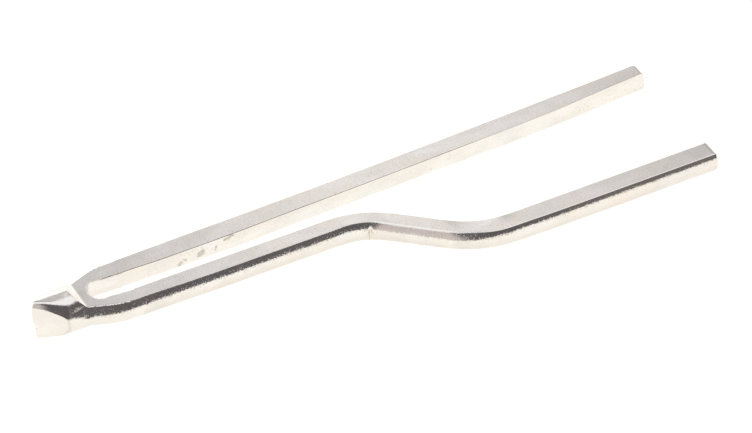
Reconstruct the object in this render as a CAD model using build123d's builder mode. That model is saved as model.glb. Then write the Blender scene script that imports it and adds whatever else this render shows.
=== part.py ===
"""Small two-tined metal fork: a chisel-ended round stub pressed flat into a yoke with two tines.

Units are millimetres. +X runs from the stub towards the tine ends, +Z is up, square to the flat
of the fork, and the origin is on the stub's axis, in the middle of its full-round length.
The straight tine lies on the +Y side and the joggled one on the -Y side.
"""

from build123d import *
import math
import os

os.makedirs("parts", exist_ok=True)

# Driving dimensions.
ROD_D = 5.0             # round rod that the whole fork is pressed and slotted from
THICK = 2.15            # thickness of the rod once it is pressed flat
OVERALL = 77.7          # from the most forward point of the chisel edge to the tine ends
SLOT_W = 3.0            # slot between the tines, at their roots
TINE_W = 2.5            # width of a tine, inner face to the crown of its round outer side
JOGGLE = 8.6            # how far the joggled tine steps outwards
JOGGLE_ANGLE = 39.5     # slope of the step, in degrees

# Stub with its chisel edge.
R = ROD_D / 2
ROUND_LEN = 1.1         # full-round length left between the ground faces and the pressed ramp
FACET_LEN = 2.85        # length of the two ground faces that make the chisel
EDGE_T = 0.55           # thickness left at the chisel edge
EDGE_BOW = 0.5          # how far the edge bows forward, off its middle
HEEL_WEAR = 0.4         # how much shorter the lower corner of the edge is worn
FACET_END = -ROUND_LEN / 2
EDGE_X = FACET_END - FACET_LEN
RAMP_START = ROUND_LEN / 2
RAMP_LEN = 1.3
RAMP_LAG = 0.6          # how much further from the stub the lower ramp lies
FLAT_START = RAMP_START + RAMP_LEN

# Yoke, where the flattened rod spreads to carry the two tines.
YOKE_HALF = SLOT_W / 2 + TINE_W
NECK_HALF = 2.75        # half its width at the foot of the ramp
SHOULDER_X = 4.8        # where it has spread to its full width
SHOULDER_R = 1.8        # blend between the spreading side and the straight side
SLOT_ROOT_X = 2.95      # bottom of the slot
SLOT_ROOT_R = 1.4       # radius of its round bottom
SIDE_R = 0.5            # rounding left on the outer sides by the round rod

# Tines, split off at their roots, where the springy metal flexes.
ROOT_X = 7.6
ROOT_GAP = 0.05         # running clearance that lets each root turn in the simulation
TINE_END = OVERALL + EDGE_X - EDGE_BOW
BOW_MID, BOW_END = 0.51, 2.12           # outward bow of the straight tine: halfway, at its end
BEND_X = 34.3           # where the tine's centreline would turn outwards if the bend were sharp
BEND_R = 7.0            # centreline radius of both bends


def tine_section(side):
    """Flat inner face, flat top and underside, outer side rounded like the rod it was."""
    with BuildSketch(Plane.YZ.offset(ROOT_X + ROOT_GAP)) as section:
        with Locations((side * (SLOT_W + TINE_W) / 2, 0)):
            Rectangle(TINE_W, THICK)
        outer = section.vertices().sort_by(Axis.X)
        outer = outer[-2:] if side > 0 else outer[:2]
        fillet(outer, SIDE_R)
    return section.sketch


with BuildPart() as stem:
    # Yoke: the outline of the pressed metal, with the round-bottomed slot left open at the tines.
    with BuildSketch() as outline:
        with BuildLine():
            sides = []
            for side in (1, -1):
                flare = FilletPolyline(
                    (RAMP_START, side * R * 0.88),
                    (FLAT_START, side * NECK_HALF),
                    (SHOULDER_X, side * YOKE_HALF),
                    (ROOT_X, side * YOKE_HALF),
                    radius=SHOULDER_R,
                )
                sides.append(flare)
            Line(sides[0] @ 0, sides[1] @ 0)
            Line(sides[0] @ 1, sides[1] @ 1)
        make_face()
        with Locations((SLOT_ROOT_X + SLOT_ROOT_R, 0)):
            Circle(SLOT_ROOT_R, mode=Mode.SUBTRACT)
        with BuildLine():
            Polyline(
                (SLOT_ROOT_X + SLOT_ROOT_R, SLOT_ROOT_R),
                (ROOT_X, SLOT_W / 2),
                (ROOT_X, -SLOT_W / 2),
                (SLOT_ROOT_X + SLOT_ROOT_R, -SLOT_ROOT_R),
                close=True,
            )
        make_face(mode=Mode.SUBTRACT)
    extrude(amount=THICK / 2, both=True)
    rims = stem.faces().filter_by(Axis.Z).edges()
    rims = rims.filter_by(lambda e: abs(e.center().Y) > R * 0.9 and abs(e.length) > 0.2)
    rims = rims.filter_by(lambda e: abs(e.tangent_at(0.5).X) > 0.5)
    fillet(rims, SIDE_R)

    # Stub: round rod, pressed down a short ramp above and below to the flat of the fork.
    with BuildSketch(Plane.YZ.offset(EDGE_X - EDGE_BOW)):
        Circle(R)
    extrude(amount=FLAT_START + RAMP_LAG - EDGE_X + EDGE_BOW)
    for up, lag in ((1, 0), (-1, RAMP_LAG)):
        with BuildSketch(Plane.XZ):
            with BuildLine():
                Polyline(
                    (RAMP_START + lag, up * R),
                    (FLAT_START + lag, up * THICK / 2),
                    (FLAT_START + lag + 1, up * THICK / 2),
                    (FLAT_START + lag + 1, up * (R + 1)),
                    (RAMP_START + lag, up * (R + 1)),
                    close=True,
                )
            make_face()
        extrude(amount=R + 1, both=True, mode=Mode.SUBTRACT)

    # Two ground faces that meet in the chisel edge.
    for side in (1, -1):
        with BuildSketch(Plane.XY.offset(-R - 1)):
            with BuildLine():
                Polyline(
                    (EDGE_X, side * EDGE_T / 2),
                    (FACET_END, side * R),
                    (FACET_END, side * (R + 1)),
                    (EDGE_X - 1, side * (R + 1)),
                    (EDGE_X - 1, side * EDGE_T / 2),
                    close=True,
                )
            make_face()
        extrude(amount=ROD_D + 2, mode=Mode.SUBTRACT)

    # The edge itself: bowed forward over its upper part, worn back at its lower corner.
    with BuildSketch(Plane.XZ):
        with BuildLine():
            edge = ThreePointArc(
                (EDGE_X, R), (EDGE_X - EDGE_BOW, R * 0.15), (EDGE_X, -R * 0.45)
            )
            heel = Line(edge @ 1, (EDGE_X + EDGE_T / 4, HEEL_WEAR - R))
            Polyline(
                heel @ 1,
                (FACET_END - EDGE_T, -R),
                (FACET_END - EDGE_T, -R - 1),
                (EDGE_X - 1, -R - 1),
                (EDGE_X - 1, R),
                edge @ 0,
            )
        make_face()
    extrude(amount=R + 1, both=True, mode=Mode.SUBTRACT)

with BuildPart() as straight_tine:
    # Nearly straight, with a slight outward bow that opens the gap towards the ends.
    root_y = (SLOT_W + TINE_W) / 2
    start_x = ROOT_X + ROOT_GAP
    with BuildLine() as bow:
        ThreePointArc(
            (start_x, root_y),
            ((start_x + TINE_END) / 2, root_y + BOW_MID),
            (TINE_END, root_y + BOW_END),
        )
    add(tine_section(1))
    sweep(path=bow.line)

with BuildPart() as joggled_tine:
    # Runs straight, steps outwards through two bends, then runs on parallel to its first stretch.
    centre_y = -(SLOT_W + TINE_W) / 2
    step_len = JOGGLE / math.tan(math.radians(JOGGLE_ANGLE))
    with BuildLine() as route:
        FilletPolyline(
            (ROOT_X + ROOT_GAP, centre_y),
            (BEND_X, centre_y),
            (BEND_X + step_len, centre_y - JOGGLE),
            (TINE_END, centre_y - JOGGLE),
            radius=BEND_R,
        )
    add(tine_section(-1))
    sweep(path=route.line)

for name, piece in (
    ("stem", stem),
    ("straight_tine", straight_tine),
    ("joggled_tine", joggled_tine),
):
    piece.part.label = name
    export_step(piece.part, f"parts/{name}.step")
    print(name, round(piece.part.volume, 2), piece.part.bounding_box())
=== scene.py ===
"""Looks of the two-tined fork: a skin for the stub with its yoke, and one for each tine.

Everything is worked out in millimetres in the CAD's own frame, and handed to Blender in metres.
+X runs towards the tine ends, +Y towards the straight tine, +Z is up.
"""

import math

import bmesh
import bpy
import numpy as np
from mathutils import Matrix, Vector


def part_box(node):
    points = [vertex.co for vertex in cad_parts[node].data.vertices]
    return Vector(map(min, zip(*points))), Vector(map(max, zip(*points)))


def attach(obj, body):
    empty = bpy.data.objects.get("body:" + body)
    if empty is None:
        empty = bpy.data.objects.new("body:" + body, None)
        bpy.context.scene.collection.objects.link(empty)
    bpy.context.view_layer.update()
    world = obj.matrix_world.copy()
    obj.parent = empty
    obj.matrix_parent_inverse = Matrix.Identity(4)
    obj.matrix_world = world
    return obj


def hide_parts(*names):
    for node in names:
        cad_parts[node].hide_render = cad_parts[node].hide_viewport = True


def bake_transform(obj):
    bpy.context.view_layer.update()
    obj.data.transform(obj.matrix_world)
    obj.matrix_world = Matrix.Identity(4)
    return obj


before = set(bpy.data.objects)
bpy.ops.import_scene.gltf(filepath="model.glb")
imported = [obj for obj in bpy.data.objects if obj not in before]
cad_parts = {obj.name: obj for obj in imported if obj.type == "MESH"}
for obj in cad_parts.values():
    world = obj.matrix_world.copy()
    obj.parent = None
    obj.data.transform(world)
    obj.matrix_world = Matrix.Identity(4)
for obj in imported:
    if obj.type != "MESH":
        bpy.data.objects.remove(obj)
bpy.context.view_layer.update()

MM = 0.001


def box_mm(node):
    """Lowest and highest corner of a CAD node, in millimetres."""
    low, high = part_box(node)
    return np.array(low) / MM, np.array(high) / MM


stem_low, stem_high = box_mm("stem")
straight_low, straight_high = box_mm("straight_tine")
joggled_low, joggled_high = box_mm("joggled_tine")

# Driving sizes, all read from the frame.
ROD_R = stem_high[2]                 # round rod of the stub
HALF = straight_high[2]              # half the thickness of the flattened metal
ROOT_X = stem_high[0]                # where the tines leave the yoke
END_X = joggled_high[0]              # free ends of the tines
SLOT_HALF = straight_low[1]          # half the slot between the tines
TINE_W = stem_high[1] - SLOT_HALF    # inner face to the crown of the outer side
STEP = straight_low[1] - joggled_low[1] - TINE_W - 2 * SLOT_HALF   # sideways step of one tine
SPREAD = straight_high[1] - stem_high[1]                           # how far the other bows out
TIP_X = stem_low[0]                  # most forward point of the chisel edge


# ------------------------------------------------------------------ small helpers

def smooth(a, b, x):
    """0 before a, 1 after b, and a smooth rise between them."""
    t = np.clip((np.asarray(x, float) - a) / (b - a), 0, 1)
    return t * t * (3 - 2 * t)


def soft_max(a, b, k):
    """The larger of two distances, with the crease between them rounded over about k."""
    h = np.clip(0.5 + 0.5 * (a - b) / k, 0, 1)
    return b + (a - b) * h + k * h * (1 - h)


def soft_min(a, b, k):
    """The smaller of two distances, rounded over in the same way."""
    return -soft_max(-a, -b, k)


def make_waves(count, wavelength, seed):
    """A smooth, repeatable, wavy field: a few sine waves in scattered directions."""
    draw = np.random.default_rng(seed)
    direction = draw.normal(size=(count, 3))
    direction /= np.linalg.norm(direction, axis=1, keepdims=True)
    number = 2 * math.pi / (wavelength * draw.uniform(0.7, 1.6, count))
    phase = draw.uniform(0, 2 * math.pi, count)

    def field(points):
        angle = points @ (direction * number[:, None]).T + phase
        return np.sin(angle).mean(-1)

    return field


broad_waves = make_waves(9, 9.0, 3)
fine_waves = make_waves(14, 1.7, 5)
BROAD_DENT, FINE_DENT = 0.012, 0.002


def dents(points):
    """Slight unevenness left by pressing and plating, in millimetres."""
    return BROAD_DENT * broad_waves(points) + FINE_DENT * fine_waves(points)


# ------------------------------------------------------------------ tine section

ARC_JOIN = math.radians(66.5)   # where the upper arc of the side meets the lower one


class Side:
    """Outer side of a tine or of the yoke: round arcs from the flat top to the flat underside.

    Angles are those of the surface normal, from straight up.
    """

    def __init__(self, edge_r, edge_to, upper_r, lower_to, lower_edge_r):
        self.edge_to = math.radians(edge_to)
        self.lower_to = math.radians(lower_to)
        cos = math.cos
        used = (
            edge_r * (1 - cos(self.edge_to))
            + upper_r * (cos(self.edge_to) - cos(ARC_JOIN))
            + lower_edge_r * (cos(self.lower_to) + 1)
        )
        lower_r = (2 * HALF - used) / (cos(ARC_JOIN) - cos(self.lower_to))
        self.arcs = (
            (0.0, self.edge_to, edge_r, 6),
            (self.edge_to, ARC_JOIN, upper_r, 5),
            (ARC_JOIN, self.lower_to, lower_r, 10),
            (self.lower_to, math.pi, lower_edge_r, 5),
        )

    def outline(self, width):
        """Points (across, up) from the flat top round to the flat underside."""
        across, up, out = 0.0, HALF, [(0.0, HALF)]
        for start, stop, r, count in self.arcs:
            angle = np.linspace(start, stop, count + 1)[1:]
            for a in angle:
                out.append(
                    (across + r * (math.sin(a) - math.sin(start)),
                     up + r * (math.cos(a) - math.cos(start)))
                )
            across, up = out[-1]
        points = np.array(out)
        points[:, 0] += width - points[:, 0].max()
        return points


def blend_outlines(a, b, t):
    """Outline a where t is 0, outline b where it is 1."""
    return a + (b - a) * t


def section(outer, roll_r, foot_r, flipped):
    """Closed outline of a tine, (across, up): across is 0 at the inner face.

    outer is the outline of its outer side; flipped turns that upside down, for the other side of
    the slot. The inner top edge is rolled over with radius roll_r, starting with a crisp corner,
    and the inner bottom edge with radius foot_r.
    """
    if flipped:
        outer = outer[::-1] * (1, -1)
    angles = np.linspace(math.pi / 2, 0, 5)
    low = np.stack([foot_r * (1 - np.cos(angles)), -HALF + foot_r * (1 - np.sin(angles))], -1)
    angles = np.linspace(math.radians(90), math.radians(50), 5)
    top = np.stack([roll_r * (1 - np.sin(angles)), roll_r * np.cos(angles)], -1)
    top[:, 1] += HALF - top[-1, 1]
    margin = 0.05

    def run(start, stop, count):
        """Points strictly between two corners, two of them close to the ends."""
        length = np.linalg.norm(stop - start)
        share = np.concatenate([[margin / length], np.linspace(0, 1, count)[1:-1],
                                [1 - margin / length]])
        return start + (stop - start) * share[:, None]

    return np.vstack([
        low, run(low[-1], top[0], 9),
        top, run(top[-1], outer[0], 11),
        outer, run(outer[-1], low[0], 9),
    ])


# Outer sides from the yoke backwards: the top edge is crisp at first and rounder behind the step.
ROOT_SIDE = Side(0.015, 38, 1.72, 115, 0.08)
FRONT_SIDE = Side(0.015, 38, 1.46, 115, 0.08)
STEP_SIDE = Side(0.06, 38, 1.80, 114, 0.10)
REAR_SIDE = Side(0.20, 39, 1.00, 113, 0.12)


# ------------------------------------------------------------------ tine routes

def route(corners, radii, counts):
    """Plan line of straight runs joined by round bends.

    counts gives the number of steps of each run and bend in turn, so two lines laid out with the
    same counts can be joined station by station.
    """
    corners = [np.array(c, float) for c in corners]
    ends, bends = [corners[0]], []
    for i, r in enumerate(radii, 1):
        a, b, c = corners[i - 1:i + 2]
        d0, d1 = (b - a) / np.linalg.norm(b - a), (c - b) / np.linalg.norm(c - b)
        turn = math.atan2(d0[0] * d1[1] - d0[1] * d1[0], d0 @ d1)
        start = b - d0 * r * math.tan(abs(turn) / 2)
        left = np.array([-d0[1], d0[0]]) * math.copysign(1, turn)
        centre = start + left * r
        ends += [start, b + d1 * r * math.tan(abs(turn) / 2)]
        bends.append((centre, start - centre, turn))
    ends.append(corners[-1])
    out = [corners[0][None]]
    for k, count in enumerate(counts):
        share = np.linspace(0, 1, count + 1)[1:, None]
        if k % 2 == 0:
            a, b = ends[k], ends[k + 1]
            out.append(a + (b - a) * share)
        else:
            centre, spoke, turn = bends[k // 2]
            c, d = np.cos(turn * share[:, 0]), np.sin(turn * share[:, 0])
            out.append(centre + np.stack(
                [c * spoke[0] - d * spoke[1], d * spoke[0] + c * spoke[1]], -1))
    return np.vstack(out)


# ------------------------------------------------------------------ meshes

def new_mesh(name, verts, faces):
    """Object made of these points, in millimetres, and faces."""
    mesh = bpy.data.meshes.new(name)
    mesh.from_pydata((np.asarray(verts) * MM).tolist(), [], [list(map(int, f)) for f in faces])
    mesh.validate()
    mesh.update()
    piece = bpy.data.objects.new(name, mesh)
    bpy.context.scene.collection.objects.link(piece)
    return piece


def finish_mesh(piece, sharp_degrees=40):
    """Outward normals, smooth faces, and crisp edges only where the metal really turns."""
    bm = bmesh.new()
    bm.from_mesh(piece.data)
    bmesh.ops.recalc_face_normals(bm, faces=bm.faces)
    for f in bm.faces:
        f.smooth = True
    for e in bm.edges:
        e.smooth = len(e.link_faces) == 2 and e.calc_face_angle(0) < math.radians(sharp_degrees)
    bm.to_mesh(piece.data)
    bm.free()


END_R = 0.36         # rounding of the cut ends
END_HALF = 1.15      # about half a tine's width there


def loft(name, loops):
    """Closed tube through section loops of equal point count, its far end eased over."""
    rings = list(loops)
    last = rings[-1]
    along = last.mean(0) - rings[-2].mean(0)
    along /= np.linalg.norm(along)
    centre = last.mean(0)
    for a in np.linspace(0, math.pi / 2, 6)[1:]:
        drawn_in = END_R / END_HALF * (1 - math.cos(a))
        rings.append(centre + (last - centre) * (1 - drawn_in) + along * END_R * math.sin(a))
    rim, tip = rings[-1], centre + along * END_R
    for share in (0.93, 0.7, 0.4, 0.15):
        rings.append(tip + (rim - tip) * share)
    n, count = len(rings), len(rings[0])
    verts = np.vstack(rings)
    faces = []
    for i in range(n - 1):
        for j in range(count):
            k = (j + 1) % count
            faces.append((i * count + j, i * count + k, (i + 1) * count + k, (i + 1) * count + j))
    faces.append(tuple(range(count))[::-1])
    faces.append(tuple(range((n - 1) * count, n * count)))
    return new_mesh(name, verts, faces)


# ------------------------------------------------------------------ tines

def turning(line):
    """How sharply a plan line turns at each station, per millimetre, eased over about 1 mm."""
    step = np.gradient(line, axis=0)
    length = np.hypot(step[:, 0], step[:, 1])
    rate = np.gradient(np.unwrap(np.arctan2(step[:, 1], step[:, 0]))) / length
    place = np.cumsum(length)
    weight = np.exp(-((place[:, None] - place[None]) / 1.0) ** 2) * length[None]
    return (weight @ rate) / weight.sum(1)


SWELL = 0.5     # how strongly a bend thickens the metal on its hollow side


def build_tine(name, inner, crown, side_at, roll_at, foot_r, flipped, pinch):
    """Skin of a tine between the plan lines of its inner face and of its outer crown.

    side_at and roll_at give the outer side's outline and the inner top edge's rounding at x, and
    pinch says how far each point of a section is moved towards the slot. Where the tine is bent,
    the metal thickens on the hollow side and thins on the stretched side.
    """
    across = crown - inner
    width = np.linalg.norm(across, axis=1)
    across /= width[:, None]
    turn = turning((inner + crown) / 2) * np.sign(across[:, 1])
    loops = []
    for i, (x, y) in enumerate(inner):
        flat = section(side_at(x, width[i]), roll_at(x), foot_r, flipped)
        flat = flat - np.array([1.0, 0.0]) * pinch(inner[i] + across[i] * width[i], flat)
        up = flat[:, 1] * (1 + SWELL * turn[i] * (flat[:, 0] - width[i] / 2))
        loops.append(np.stack([x + across[i, 0] * flat[:, 0], y + across[i, 1] * flat[:, 0], up],
                              -1))
    loops = np.array(loops)
    normal = np.cross(np.gradient(loops, axis=0), np.roll(loops, -1, 1) - np.roll(loops, 1, 1))
    normal /= np.maximum(np.linalg.norm(normal, axis=-1, keepdims=True), 1e-12)
    outward = np.sign(((loops - loops.mean(1, keepdims=True)) * normal).sum(-1).mean())
    move = dents(loops.reshape(-1, 3)).reshape(loops.shape[:2])
    piece = loft(name, loops + normal * outward * move[..., None])
    finish_mesh(piece)
    return piece


ROOT_W = TINE_W - 0.2        # width of a tine where it leaves the yoke
FULL_W = TINE_W - 0.06       # width once it runs on


def width_profile(x):
    """Tine width along its length: it leaves the yoke a little narrower."""
    return ROOT_W + (FULL_W - ROOT_W) * smooth(ROOT_X, ROOT_X + 10, x)


PAST_END = 0.22              # how far the rounded cut ends reach past the CAD's square ones
TIP_END_X = END_X + PAST_END - END_R     # where the rounding of the cut ends starts
BEND_SLOPE = math.radians(40.3)
BEND_X = 34.9                # corner of the joggled tine's first bend, on its inner line
DRIFT = 0.05                 # how far the joggled tine has moved out by its first bend
REAR_X = BEND_X + (STEP - DRIFT) / math.tan(BEND_SLOPE)
REAR_Y = -SLOT_HALF - STEP
STEP_COUNTS = (96, 56, 24, 30, 84)
STEP_W = 2.33                # the tine is a little narrower where it steps outwards
REAR_WIDENING = 0.18         # and a little wider behind the step

# The crown's bends lie nearer the yoke than the inner line's.
slide = (STEP_W / math.cos(BEND_SLOPE) - FULL_W) / math.tan(BEND_SLOPE)

joggled_inner = route(
    [(ROOT_X, -SLOT_HALF), (BEND_X, -SLOT_HALF - DRIFT), (REAR_X, REAR_Y), (TIP_END_X, REAR_Y)],
    radii=[9.5, 9.0], counts=STEP_COUNTS,
)
joggled_crown = route(
    [(ROOT_X, -SLOT_HALF - FULL_W), (BEND_X - slide, -SLOT_HALF - DRIFT - FULL_W),
     (REAR_X - slide, REAR_Y - FULL_W), (TIP_END_X, REAR_Y - FULL_W)],
    radii=[6.0, 11.0], counts=STEP_COUNTS,
)
joggled_crown[:, 1] += FULL_W - width_profile(joggled_crown[:, 0])
joggled_crown[:, 1] -= REAR_WIDENING * smooth(44, 56, joggled_crown[:, 0])


def front_side(x, width):
    """Outer side outline ahead of the bends: evenly round at the yoke, then flatter lower down."""
    return blend_outlines(ROOT_SIDE.outline(width), FRONT_SIDE.outline(width),
                          smooth(ROOT_X, 14, x))


def joggled_side(x, width):
    """Outer side outline: sharp-edged before the step, rounder over and behind it."""
    over = smooth(BEND_X - 2.0, BEND_X + 2.0, x)
    behind = smooth(REAR_X - 1.5, REAR_X + 2.0, x)
    step = blend_outlines(front_side(x, width), STEP_SIDE.outline(width), over)
    return blend_outlines(step, REAR_SIDE.outline(width), behind)


FOLD_X = 34.62               # where the hollow side of the first bend is folded in
FOLD_DEPTH = 0.55


def fold(place, flat):
    """How deep the fold is pinched into the hollow side of the first bend.

    It starts as a point under the top edge, widens downwards, is deepest about half way down and
    runs out at the bottom edge.
    """
    up = flat[:, 1]
    down = np.clip((0.62 - up) / 1.3, 0, 1)
    tent = np.clip(1 - abs(place[0] - FOLD_X) / (0.04 + 0.58 * down), 0, 1)
    depth = FOLD_DEPTH * np.sqrt(down) * smooth(-1.07, 0.1, up) * smooth(1.3, 1.9, flat[:, 0])
    return (depth * tent)[:, None]


joggled = build_tine(
    "joggled_tine_skin", joggled_inner, joggled_crown, joggled_side,
    roll_at=lambda x: 0.04, foot_r=0.05, flipped=False, pinch=fold,
)

NEARER = 0.13                # how much narrower the slot is part way along
EASED_IN = 0.1               # how far the straight tine's rear half falls short of its bow
END_OUTER, END_INNER = 0.18, 0.3     # how much its end narrows, outside and inside
FOOT_LEAN = 0.2              # how far the foot of its inner face leans out, twice over at the end
CORNER_R, CORNER_LONG = 0.3, 0.6     # rounding of the outer corner of its cut end
MIDDLE, REAR = (45, 60), (60, 73)    # stretches in x over which the tine changes

straight_x = np.linspace(ROOT_X, TIP_END_X, 361)
along = (straight_x - ROOT_X) / (END_X - ROOT_X)
bow = SPREAD * (1.04 * along * along - 0.04 * along) - EASED_IN * smooth(*MIDDLE, straight_x)
nearer = NEARER * smooth(8, 13, straight_x) * (1 - smooth(20, 30, straight_x))
outer_edge = width_profile(straight_x) - END_OUTER * smooth(58, 73, straight_x)
inner_edge = END_INNER * smooth(*REAR, straight_x) - nearer


def splay(place, flat):
    """How far the foot of the inner face leans out under its top edge, more towards the end.

    The outer corner of the cut end is also rounded back.
    """
    lean = FOOT_LEAN * (smooth(*MIDDLE, place[0]) + smooth(*REAR, place[0]))
    inner = np.clip(1 - flat[:, 0] / TINE_W, 0, 1)
    into_corner = np.clip((place[0] - TIP_END_X) / CORNER_LONG + 1, 0, 1)
    rounded = CORNER_R * (1 - math.sqrt(1 - into_corner**2)) * (1 - inner)
    return (lean * inner * (HALF - flat[:, 1]) / (2 * HALF) + rounded)[:, None]


straight = build_tine(
    "straight_tine_skin",
    np.stack([straight_x, SLOT_HALF + bow + inner_edge], -1),
    np.stack([straight_x, SLOT_HALF + bow + outer_edge], -1),
    front_side,
    roll_at=lambda x: 0.15 - 0.09 * float(smooth(48, 56, x)), foot_r=0.25, flipped=True,
    pinch=splay,
)


# ------------------------------------------------------------------ stub and yoke

EDGE_X = TIP_X + 0.5         # chisel edge where it isn't bowed
EDGE_HALF = 0.275            # half its thickness
NEAR_FACET, FAR_FACET = 2.85, 3.2    # lengths of the two ground faces
RAMP_TOP_X, RAMP_FOOT_X = 0.58, 1.86
RAMP_LAG = 0.6               # how much further from the stub the lower ramp lies
NECK_R, NECK_DROP = 2.30, 0.737      # rounder side of the neck, and how low its crown sits
SLOT_ROOT_X, SLOT_ROOT_R = 3.02, 1.45    # round bottom of the slot
SLOT_OFF, SLOT_FLARE = 0.12, 0.07    # how far it lies to the far side, and bulges out there
EDGE_BOW = 0.45              # how far the chisel edge bows forward

# Flats on the near side of the stub: outward normal, and a point that each one runs through.
PRESSED = (0.05, -0.879, 0.467), (0, -2.42 / 0.879, 0)
SHOULDER = (-0.31, -0.748, 0.59), (EDGE_X + 1.3, -1.2, 1.72)
NOSE = (-0.52, -0.64, 0.57), (EDGE_X + 0.6, -0.6, 2.11)
HEEL = (-0.3, -0.734, -0.8), (EDGE_X, -0.26, -2.25)

# The fields below are combined as distances; these factors bring sloping ones back to scale.
SIDE_SCALE, EDGE_SCALE = 0.93, 0.95

side_up = ROOT_SIDE.outline(0.0)    # across is negative inwards, measured from the crown


def side_inset(z):
    """How far the outer side has drawn in from its crown at height z, carried on past the flats."""
    order = np.argsort(side_up[:, 1])
    inset = -np.interp(z, side_up[order, 1], side_up[order, 0])
    return inset + 1.1 * np.maximum(np.abs(z) - HALF, 0)


def yoke_half(x):
    """Half-width of the yoke at its crown, along the stub's axis."""
    rising = ROD_R + 0.37 * np.maximum(x - 1.6, 0)
    level = SLOT_HALF + width_profile(x) + 0.01 * (x - ROOT_X)
    return soft_min(rising, level, 0.5)


def slot_field(p):
    """Negative inside the slot: a round bottom, squarer on the far side, then the full width."""
    x, y = p[:, 0], p[:, 1] - SLOT_OFF * (1 - smooth(5, ROOT_X, p[:, 0]))
    centre_x = SLOT_ROOT_X + SLOT_ROOT_R
    half = SLOT_ROOT_R + (SLOT_HALF - SLOT_ROOT_R) * smooth(centre_x, ROOT_X - 0.6, x)
    half = half + SLOT_FLARE * (y > 0) * smooth(3.2, 3.8, x) * (1 - smooth(4.5, 5.5, x))
    ahead = np.maximum(centre_x - x, 0)
    power = np.where(y > 0, 2.4, 2.0)
    return (ahead**power + np.abs(y)**power) ** (1 / power) - half


def facet_field(p, length, side):
    """Positive outside one ground face of the chisel."""
    slope = math.atan2(ROD_R - EDGE_HALF, length)
    x, y = p[:, 0] - EDGE_X, p[:, 1] * side - EDGE_HALF
    return -x * math.sin(slope) + y * math.cos(slope)


def plane_field(p, normal, through):
    """Positive outside a ground flat with this outward normal through this point."""
    normal = np.array(normal) / np.linalg.norm(normal)
    return (p - np.array(through)) @ normal


def neck_inset(z):
    """Inset of the neck's near side at height z; it still has almost the rod's own roundness."""
    rise = np.clip((np.minimum(z, HALF) + NECK_DROP) / NECK_R, 0, 1)
    beyond = 1.28 * np.maximum(z - HALF, 0) + 1.1 * np.maximum(-z - 0.9, 0)
    return NECK_R * (1 - np.sqrt(1 - rise**2)) + beyond


def neck_or_side(x, z):
    """Inset of the near side: the neck's round one, turning into the yoke's."""
    inset = side_inset(z)
    return inset + (neck_inset(z) - inset) * (1 - smooth(3.4, 7.4, x))


def yoke_field(p, near):
    """The rod where it runs into the yoke; near is 1 on the joggled tine's side, 0 on the other."""
    x, y, z = p.T
    rod = np.sqrt(y**2 + z**2) - ROD_R
    far_inset = side_inset(-z)
    inset = far_inset + (neck_or_side(x, z) - far_inset) * near
    side = (np.abs(y) - yoke_half(x) + inset) * SIDE_SCALE
    return soft_min(rod, soft_max(side, np.abs(z) - HALF, 0.05), 0.25)


def neck_field(p):
    """The near shoulder: the rod with its pressed flat, turning into the drawn-in neck."""
    x, y, z = p.T
    rod = np.sqrt(y**2 + z**2) - ROD_R
    pressed = soft_max(rod, plane_field(p, *PRESSED), 0.1)
    # How far the neck is drawn in from the rod; above the flat the rod just moves in with it.
    low = np.clip(z, -2.0, HALF)
    draw = neck_or_side(x, low) - yoke_half(x) + np.sqrt(ROD_R**2 - low**2)
    round_half = np.sqrt(np.maximum(ROD_R**2 - z**2, 0.01))
    gentle = np.minimum(round_half / math.sqrt(ROD_R**2 - HALF**2), 1)
    moved = (np.abs(y) - round_half + draw) * gentle
    return pressed + (SIDE_SCALE * moved - pressed) * smooth(-0.4, 2.4, x)


def ramp_field(p):
    """Positive above the upper pressed ramp or below the lower one."""
    x, thick = p[:, 0], np.abs(p[:, 2]) - HALF
    fall = math.atan2(ROD_R - HALF, RAMP_FOOT_X - RAMP_TOP_X)
    foot = RAMP_FOOT_X + RAMP_LAG * (p[:, 2] < 0)
    ramp = (x - foot) * math.sin(fall) + thick * math.cos(fall)
    return soft_min(ramp, thick, 0.04)


def cut_slot(body, p):
    """The metal left by the slot, with the rolled edge that carries on along the straight tine."""
    x, y, z = p.T
    slot = slot_field(p)
    rolled = smooth(4.4, 5.2, x) * (y > 0)
    bevel = -0.911 * slot + 0.41 * (z - HALF) + 0.0456 * rolled - 0.1 * (1 - rolled)
    return np.maximum(soft_max(body, -slot, 0.06), bevel)


def grind(body, p):
    """The metal left by the flats on the near side, the chisel's two ground faces and its edge."""
    x, z = p[:, 0], p[:, 2]
    for flat, rounding in ((SHOULDER, 0.2), (NOSE, 0.25), (HEEL, 0.06)):
        body = soft_max(body, plane_field(p, *flat), rounding)
    body = soft_max(body, facet_field(p, NEAR_FACET, -1), 0.05)
    body = soft_max(body, facet_field(p, FAR_FACET, 1), 0.06)
    bulge = smooth(-1.2, 0.7, z) * (1 - 0.6 * smooth(1.2, 2.6, z))
    return soft_max(body, (EDGE_X - 0.04 - EDGE_BOW * bulge - x) * EDGE_SCALE, 0.05)


def stem_field(p):
    """Signed distance, roughly, to the stub and yoke; negative inside the metal."""
    near = smooth(0.3, -0.3, p[:, 1])
    spread = yoke_field(p, near)
    body = spread + (neck_field(p) - spread) * near * smooth(-0.5, 0.3, p[:, 2])
    body = soft_max(body, ramp_field(p), 0.02)
    return grind(cut_slot(body, p), p) - dents(p)


def slope_of(field, points, eps=0.004):
    """Gradient of a field, by central differences."""
    return np.stack(
        [(field(points + eps * axis) - field(points - eps * axis)) / (2 * eps)
         for axis in np.eye(3)], -1)


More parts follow.
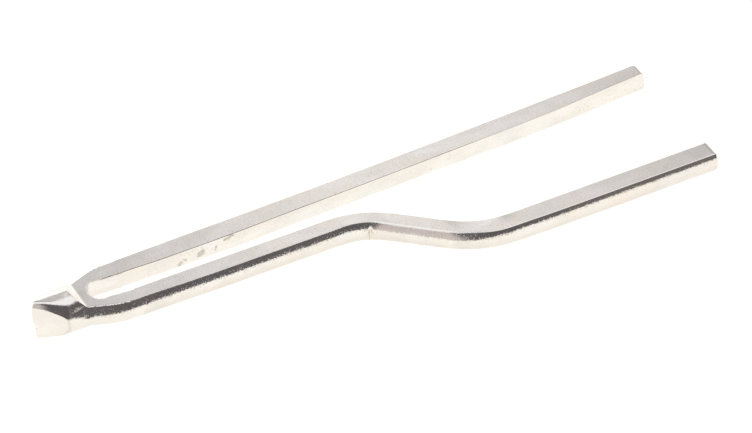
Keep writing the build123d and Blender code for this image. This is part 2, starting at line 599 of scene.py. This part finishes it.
def crossing(field, a, b, fa, fb):
    """Where the field is zero between points a and b, which lie on opposite sides."""
    for turn in range(5):
        share = (fa / (fa - fb))[:, None] if turn % 2 == 0 else 0.5
        middle = a + (b - a) * share
        fm = field(middle)
        same = (fm < 0) == (fa < 0)
        a, fa = np.where(same[:, None], middle, a), np.where(same, fm, fa)
        b, fb = np.where(same[:, None], b, middle), np.where(same, fb, fm)
    return a + (b - a) * (fa / (fa - fb))[:, None]


def crossed_cells(inside):
    """A number for each cell that the surface runs through, and -1 for every other cell."""
    cells = tuple(n - 1 for n in inside.shape)
    corner_count = np.zeros(cells, int)
    for i in np.ndindex(2, 2, 2):
        corner_count += inside[tuple(slice(k, k + n) for k, n in zip(i, cells))]
    mixed = (corner_count > 0) & (corner_count < 8)
    index = -np.ones(cells, int)
    index[mixed] = np.arange(mixed.sum())
    return index


def crossed_edges(inside, axis):
    """Both ends of each grid edge along this axis that the surface crosses."""
    lead, ahead = [slice(1, -1)] * 3, [slice(1, -1)] * 3
    lead[axis], ahead[axis] = slice(0, -1), slice(1, None)
    where = np.argwhere(inside[tuple(lead)] != inside[tuple(ahead)]) + 1
    where[:, axis] -= 1
    other = where.copy()
    other[:, axis] += 1
    return where, other


def surface_net(field, low, high, step):
    """Quads on the zero surface of a field, one point per cell that the surface runs through.

    Each point goes where the surface's tangent planes in its cell meet, which keeps creases crisp.
    """
    axes = [np.arange(a, b + step, step) for a, b in zip(low, high)]
    grid = np.stack(np.meshgrid(*axes, indexing="ij"), -1)
    value = field(grid.reshape(-1, 3)).reshape(grid.shape[:3])
    inside = value < 0
    index = crossed_cells(inside)
    size = index.max() + 1
    total, count = np.zeros((size, 3)), np.zeros(size)
    gram, pull = np.zeros((size, 3, 3)), np.zeros((size, 3))
    quads = []
    for axis in range(3):
        b, c = (axis + 1) % 3, (axis + 2) % 3
        where, other = crossed_edges(inside, axis)
        first, second = tuple(where.T), tuple(other.T)
        met = crossing(field, grid[first], grid[second], value[first], value[second])
        normal = slope_of(field, met)
        normal /= np.maximum(np.linalg.norm(normal, axis=1, keepdims=True), 1e-9)
        corners = []
        for db, dc in ((0, 0), (-1, 0), (-1, -1), (0, -1)):
            cell = where.copy()
            cell[:, b] += db
            cell[:, c] += dc
            corner = index[tuple(cell.T)]
            np.add.at(total, corner, met)
            np.add.at(count, corner, 1)
            np.add.at(gram, corner, normal[:, :, None] * normal[:, None])
            np.add.at(pull, corner, normal * (normal * met).sum(-1, keepdims=True))
            corners.append(corner)
        quad = np.stack(corners, -1)
        falling = ~inside[first]
        quad[falling] = quad[falling][:, ::-1]
        quads.append(quad)
    mean = total / count[:, None]
    pull = pull - (gram @ mean[..., None])[..., 0]
    points = mean + np.linalg.solve(gram + 0.03 * np.eye(3), pull[..., None])[..., 0]
    corner = grid[:-1, :-1, :-1][index >= 0]
    points = np.clip(points, corner, corner + step)
    for _ in range(2):
        points = onto_surface(field, points, step)
    return points, np.vstack(quads)


def onto_surface(field, points, step):
    """One Newton step of each point towards the field's zero surface."""
    value, slope = field(points), slope_of(field, points)
    size = np.maximum((slope**2).sum(-1), 0.2)
    move = -(value / size)[:, None] * slope
    far = np.linalg.norm(move, axis=1, keepdims=True)
    return points + move * np.minimum(1, 0.4 * step / np.maximum(far, 1e-9))


NET_STEP, QUICK_NET_STEP = 0.095, 0.15      # cell size of the stub's and yoke's skin


def build_stem():
    """Skin of the stub and yoke, cut off square where the tines take over."""
    low = (TIP_X - 0.3, -stem_high[1] - 0.3, -ROD_R - 0.3)
    high = (ROOT_X + 0.4, stem_high[1] + 0.3, ROD_R + 0.3)
    step = NET_STEP
    points, quads = surface_net(stem_field, low, high, step)
    piece = new_mesh("stem_skin", points, quads)
    bm = bmesh.new()
    bm.from_mesh(piece.data)
    bmesh.ops.bisect_plane(
        bm, geom=bm.verts[:] + bm.edges[:] + bm.faces[:], dist=1e-7,
        plane_co=(ROOT_X * MM, 0, 0), plane_no=(1, 0, 0), clear_outer=True,
    )
    rim = [e for e in bm.edges if e.is_boundary]
    bmesh.ops.holes_fill(bm, edges=rim, sides=0)
    bm.to_mesh(piece.data)
    bm.free()
    finish_mesh(piece, 26)
    return piece


stem = build_stem()


# ------------------------------------------------------------------ node helpers

class Net:
    """Thin wrapper for building node trees out of expressions."""

    def __init__(self, tree):
        self.tree = tree

    def feed(self, socket, value):
        """Link an output to a socket, or set the socket's own value."""
        if isinstance(value, bpy.types.NodeSocket):
            self.tree.links.new(value, socket)
        else:
            socket.default_value = value

    def add(self, kind, out=0, **inputs):
        """A shader node's output number out, with its inputs set by name."""
        node = self.tree.nodes.new("ShaderNode" + kind)
        for key, value in inputs.items():
            self.feed(node.inputs[key], value)
        return node.outputs[out]

    def math(self, operation, a, b=0.0):
        """Arithmetic on two numbers or outputs."""
        node = self.tree.nodes.new("ShaderNodeMath")
        node.operation = operation
        self.feed(node.inputs[0], a)
        self.feed(node.inputs[1], b)
        return node.outputs[0]

    def ease(self, value, start, stop, low=0.0, high=1.0):
        """low below start, high above stop, smooth between."""
        node = self.tree.nodes.new("ShaderNodeMapRange")
        node.interpolation_type = "SMOOTHSTEP"
        for name, number in (("From Min", start), ("From Max", stop), ("To Min", low),
                             ("To Max", high)):
            node.inputs[name].default_value = number
        self.tree.links.new(value, node.inputs["Value"])
        return node.outputs["Result"]

    def mix(self, share, a, b):
        """Colour a where share is 0, colour b where it is 1."""
        node = self.tree.nodes.new("ShaderNodeMix")
        node.data_type = "RGBA"
        for socket, value in ((node.inputs[0], share), (node.inputs[6], a), (node.inputs[7], b)):
            self.feed(socket, (*value, 1) if isinstance(value, tuple) else value)
        return node.outputs[2]

    def noise(self, where, per_mm, detail=3.0, stretch=None):
        """Cloudy noise whose blobs are about 1 / per_mm millimetres across."""
        if stretch:
            node = self.tree.nodes.new("ShaderNodeVectorMath")
            node.operation = "MULTIPLY"
            self.tree.links.new(where, node.inputs[0])
            node.inputs[1].default_value = stretch
            where = node.outputs[0]
        node = self.tree.nodes.new("ShaderNodeTexNoise")
        node.inputs["Scale"].default_value = per_mm / MM
        node.inputs["Detail"].default_value = detail
        self.tree.links.new(where, node.inputs["Vector"])
        return node.outputs[0]


# ------------------------------------------------------------------ materials

PLATE_WARM, PLATE_PALE = (0.795, 0.765, 0.735), (0.845, 0.795, 0.74)
# The darker colour here serves both real stains and painted shade.
HAZE, STAIN_AND_SHADE = (0.90, 0.885, 0.87), (0.56, 0.50, 0.43)
BUMP_DEPTH = 0.022           # depth of the grain and pits
FRONT_SPECK = 0.6            # how coarse the surface is at the stub, against the tines


def plate_tone(net, where, cloud):
    """Warm to pale plating, with patches of haze drawn out along the metal."""
    tone = net.mix(net.ease(cloud, 0.38, 0.64), PLATE_WARM, PLATE_PALE)
    haze = net.noise(where, 0.5, 3, (0.35, 1.0, 1.0))
    return net.mix(net.ease(haze, 0.42, 0.66, 0.0, 0.55), tone, HAZE)


def coarseness(net, x, z):
    """How coarse the surface is: the pressed flats are smoother than the sides."""
    height = net.math("ABSOLUTE", z)
    coarse = net.math("ADD", net.ease(height, HALF - 0.35, HALF - 0.1, 1.0, 0.25),
                      net.ease(height, HALF + 0.05, HALF + 0.3, 0, 0.5))
    return net.math("MULTIPLY", coarse, net.ease(x, 0.5, 14.0, FRONT_SPECK, 1.0))


def metal(name, marks):
    """Dull nickel plate over pressed metal: grainy, faintly scratched, a little stained.

    marks(net, x, y, z, where) gives a mask of stains and painted shade and a height of its own,
    from millimetres.
    """
    mat = bpy.data.materials.new(name)
    mat.use_nodes = True
    net = Net(mat.node_tree)
    link = mat.node_tree.links.new
    shader = mat.node_tree.nodes["Principled BSDF"]
    shader.inputs["Metallic"].default_value = 1.0
    where = net.add("TexCoord", out=3)

    cloud = net.noise(where, 0.35, 4)
    grain = net.noise(where, 2.4, 3)
    fine = net.noise(where, 6.0, 2)
    drawn = net.noise(where, 3.0, 3, (0.05, 1.0, 1.0))
    scratch = net.ease(net.noise(where, 5.0, 2, (0.03, 1.2, 1.2)), 0.69, 0.76)
    speck = net.ease(fine, 0.52, 0.66)

    stain_and_shade = net.ease(net.noise(where, 1.1, 5), 0.66, 0.78, 0.0, 0.3)
    split = mat.node_tree.nodes.new("ShaderNodeSeparateXYZ")
    link(where, split.inputs[0])
    x, y, z = (net.math("MULTIPLY", axis, 1 / MM) for axis in split.outputs)
    coarse = coarseness(net, x, z)
    pitted = net.math("ADD", net.math("MULTIPLY", grain, 0.42), net.math("MULTIPLY", fine, 0.30))
    pitted = net.math("ADD", pitted, net.math("MULTIPLY", speck, 0.13))
    height = net.math("MULTIPLY", net.math("SUBTRACT", pitted, 0.41), coarse)
    height = net.math("ADD", height, net.math("MULTIPLY", drawn, 0.12))
    height = net.math("SUBTRACT", height, net.math("MULTIPLY", scratch, 0.12))
    more, relief = marks(net, x, y, z, where)
    # The marks bring painted shade into the stain mask.
    stain_and_shade = net.math("MAXIMUM", stain_and_shade, more)
    height = net.math("ADD", height, relief)
    tone = plate_tone(net, where, cloud)
    link(net.mix(stain_and_shade, tone, STAIN_AND_SHADE), shader.inputs["Base Color"])

    rough = net.ease(cloud, 0.3, 0.75, 0.11, 0.15)
    rough = net.math("ADD", rough, net.math("MULTIPLY", net.math("MULTIPLY", speck, coarse), 0.3))
    rough = net.math("ADD", rough, net.math("MULTIPLY", scratch, 0.12))
    rough = net.math("ADD", rough, net.math("MULTIPLY", stain_and_shade, 0.25))
    link(rough, shader.inputs["Roughness"])
    bump = net.add("Bump", Strength=1.0, Distance=BUMP_DEPTH * MM, Height=height)
    link(bump, shader.inputs["Normal"])
    return mat


def stub_marks(net, x, y, z, where):
    """Painted shade as a darker rim round the near ground face, and pits low on the chisel edge."""
    slope = math.atan2(ROD_R - EDGE_HALF, NEAR_FACET)
    reach = EDGE_HALF * math.cos(slope) - EDGE_X * math.sin(slope)
    off = net.math("ADD", net.math("MULTIPLY", x, -math.sin(slope)),
                   net.math("MULTIPLY", y, -math.cos(slope)))
    off = net.math("ABSOLUTE", net.math("SUBTRACT", off, reach))
    round_off = net.math("POWER", net.math("ADD", net.math("MULTIPLY", y, y),
                                           net.math("MULTIPLY", z, z)), 0.5)
    # Painted shade: the darker rim stands in for the shade line of a burr along the ground face.
    rim = net.math("MULTIPLY", net.ease(off, 0.02, 0.11, 1, 0),
                   net.ease(round_off, ROD_R - 0.14, ROD_R - 0.04))
    cells = net.add("TexVoronoi", out=0, Vector=where, Scale=1.5 / MM)
    pits = net.math("MULTIPLY", net.ease(cells, 0.10, 0.16, 1, 0), net.ease(z, -0.5, -0.7))
    pits = net.math("MULTIPLY", pits, net.ease(x, EDGE_X + 0.3, EDGE_X + 0.6, 1, 0))
    # Painted shade on the rim, and the dark pits.
    stain_and_shade = net.math("MAXIMUM", net.math("MULTIPLY", rim, 0.3), pits)
    return stain_and_shade, net.math("MULTIPLY", pits, -1.0)


def smudges(net, x, y, z, where):
    """A few grey smudges on the inner face of the straight tine, not far from the yoke."""
    ragged = net.math("MULTIPLY", net.math("SUBTRACT", net.noise(where, 2.6, 4), 0.5), 3.6)
    mask = 0.0
    for at_x, at_z, long, high in ((14.7, -0.4, 0.55, 0.45), (17.0, -0.1, 0.5, 0.55),
                                   (18.8, -0.1, 0.16, 0.5), (20.5, 0.72, 0.7, 0.34)):
        u = net.math("DIVIDE", net.math("SUBTRACT", x, at_x), long)
        v = net.math("DIVIDE", net.math("SUBTRACT", z, at_z), high)
        # Their tops lean towards the tine's end.
        u = net.math("SUBTRACT", u, net.math("MULTIPLY", v, 0.5))
        far = net.math("ADD", net.math("MULTIPLY", u, u), net.math("MULTIPLY", v, v))
        far = net.math("ADD", far, ragged)
        mask = net.math("MAXIMUM", net.ease(far, 0.3, 1.1, 0.75, 0.0), mask)
    inner = net.ease(y, SLOT_HALF + 0.35, SLOT_HALF + 0.45, 1, 0)
    return net.math("MULTIPLY", mask, inner), 0.0


def fold_shade_and_nick(net, x, y, z, where):
    """Painted shade along the bottom of the fold and towards the underside, and a nick near the
    yoke.
    """
    nick = net.ease(net.math("ABSOLUTE", net.math("SUBTRACT", x, 8.1)), 0.04, 0.16, -1.2, 0.0)
    nick = net.math("MULTIPLY", nick, net.ease(z, 0.3, 0.6))
    nick = net.math("MULTIPLY", nick, net.ease(z, HALF - 0.12, HALF - 0.02, 1, 0))
    # Painted shade down the bottom of the fold's crease.
    off = net.math("ABSOLUTE", net.math("SUBTRACT", x, FOLD_X - 0.03))
    line = net.math("MULTIPLY", net.ease(off, 0.03, 0.15, 1, 0), net.ease(z, 0.25, -0.1))
    line = net.math("MULTIPLY", line, net.ease(y, -3.4, -3.7))
    # Painted shade: the tine is darker towards its underside.
    low = net.ease(z, 0.3, -0.7, 0.0, 0.25)
    return net.math("MAXIMUM", net.math("MULTIPLY", line, 0.6), low), nick


stem.data.materials.append(metal("plated_stub", stub_marks))
straight.data.materials.append(metal("plated_straight", smudges))
joggled.data.materials.append(metal("plated_joggled", fold_shade_and_nick))

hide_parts("stem")
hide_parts("straight_tine")
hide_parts("joggled_tine")
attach(stem, "stem")
for tine, body in ((straight, "straight_tine"), (joggled, "joggled_tine")):
    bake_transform(tine)


# ------------------------------------------------------------------ stage, light, camera

WHITE = (1.14, 1.12, 1.06)      # overexposed paper and walls, faintly warm
OVERHEAD, HIGH_WALL = (1.10, 1.11, 1.12), (1.40, 1.38, 1.35)
GREY_WALL, LIT_WALL = (0.52, 0.52, 0.53), (1.02, 1.0, 0.99)
DARK_SIDE, PALER_SIDE, BROWN_SIDE = (0.119, 0.113, 0.119), (0.20, 0.185, 0.175), (0.68, 0.62, 0.60)
FLOOR_REACH = 3.0               # half the width of the floor, in metres


def emitter(name, color):
    """A material that glows evenly."""
    mat = bpy.data.materials.new(name)
    mat.use_nodes = True
    nodes, links = mat.node_tree.nodes, mat.node_tree.links
    nodes.remove(nodes["Principled BSDF"])
    glow = nodes.new("ShaderNodeEmission")
    glow.inputs["Color"].default_value = (*color, 1)
    links.new(glow.outputs["Emission"], nodes["Material Output"].inputs["Surface"])
    return mat


floor_corners = np.array([(-1, -1, 0), (1, -1, 0), (1, 1, 0), (-1, 1, 0)]) * FLOOR_REACH / MM
floor = new_mesh("floor", floor_corners + np.array([0, 0, -ROD_R]), [(0, 1, 2, 3)])
floor.data.materials.append(emitter("white_sweep", WHITE))


def studio():
    """Soft studio surroundings: an overhead softbox, a pale far wall and a dark near side."""
    world = bpy.data.worlds.new("studio")
    bpy.context.scene.world = world
    world.use_nodes = True
    world.node_tree.nodes.clear()
    net = Net(world.node_tree)
    where = net.add("TexCoord", out=0)
    split = world.node_tree.nodes.new("ShaderNodeSeparateXYZ")
    world.node_tree.links.new(where, split.inputs[0])
    x, y, z = split.outputs
    # Angle from straight up, in degrees: positive towards the near side, negative to the far one.
    lean = net.math("MULTIPLY", net.math("ARCTAN2", net.math("MULTIPLY", y, -1.0), z),
                    180 / math.pi)
    wall = net.math("MULTIPLY", net.ease(lean, -60, -54), net.ease(lean, -18, -11, 1, 0))
    # Both walls have a patch that is narrow in x: a lit one here, a paler one on the dark side.
    pool = net.math("MULTIPLY", net.ease(x, 0.27, 0.345), net.ease(x, 0.352, 0.44, 1, 0))
    wall_tone = net.mix(pool, GREY_WALL, LIT_WALL)
    high = net.mix(net.ease(lean, -58, -52), HIGH_WALL, OVERHEAD)
    room = net.mix(net.ease(lean, 50, 70), high, WHITE)
    room = net.mix(wall, room, wall_tone)
    dark = net.math("MULTIPLY", net.ease(lean, 24, 33), net.ease(lean, 84, 91, 1, 0))
    sideways = net.math("ABSOLUTE", x)      # the dark side stops short of straight left and right
    dark = net.math("MULTIPLY", dark, net.ease(sideways, 0.8, 0.92, 1, 0))
    paler = net.math("MULTIPLY", net.ease(x, 0.33, 0.41), net.ease(x, 0.46, 0.54, 1, 0))
    dark_tone = net.mix(paler, DARK_SIDE, PALER_SIDE)
    # Towards the stub's end the dark side turns brownish.
    dark_tone = net.mix(net.ease(x, -0.62, -0.4), BROWN_SIDE, dark_tone)
    room = net.mix(dark, room, dark_tone)
    light = net.add("Background", Color=room)
    backdrop = net.add("Background", Color=(*WHITE, 1))
    camera_ray = net.add("LightPath", out=0)
    mixer = world.node_tree.nodes.new("ShaderNodeMixShader")
    world.node_tree.links.new(camera_ray, mixer.inputs[0])
    world.node_tree.links.new(light, mixer.inputs[1])
    world.node_tree.links.new(backdrop, mixer.inputs[2])
    out = world.node_tree.nodes.new("ShaderNodeOutputWorld")
    world.node_tree.links.new(mixer.outputs[0], out.inputs["Surface"])


studio()

AZIMUTH, ELEVATION, ROLL = (math.radians(a) for a in (-27.59, 40.825, -0.762))
back = Vector((math.sin(AZIMUTH) * math.cos(ELEVATION),
               -math.cos(AZIMUTH) * math.cos(ELEVATION), math.sin(ELEVATION)))
level = Vector((math.cos(AZIMUTH), math.sin(AZIMUTH), 0))
upright = back.cross(level)
right = level * math.cos(ROLL) + upright * math.sin(ROLL)
up = upright * math.cos(ROLL) - level * math.sin(ROLL)
DISTANCE, LENS = 530.07, 231.58
# The view's centre: a point on the stub's axis, moved right and down in the view.
AIM_X, AIM_RIGHT, AIM_DOWN = 36.6, 1.02, 1.453
aim = Vector((AIM_X, 0, 0)) + right * AIM_RIGHT - up * AIM_DOWN
camera_data = bpy.data.cameras.new("camera")
camera_data.sensor_width = 36
camera_data.lens = LENS
camera_data.clip_start, camera_data.clip_end = 0.01, 20
camera = bpy.data.objects.new("camera", camera_data)
camera.matrix_world = Matrix.LocRotScale(
    (aim + back * DISTANCE) * MM,
    Matrix((right, up, back)).transposed().to_quaternion(), None)
bpy.context.scene.collection.objects.link(camera)
bpy.context.scene.camera = camera
bpy.context.scene.view_settings.view_transform = "Standard"
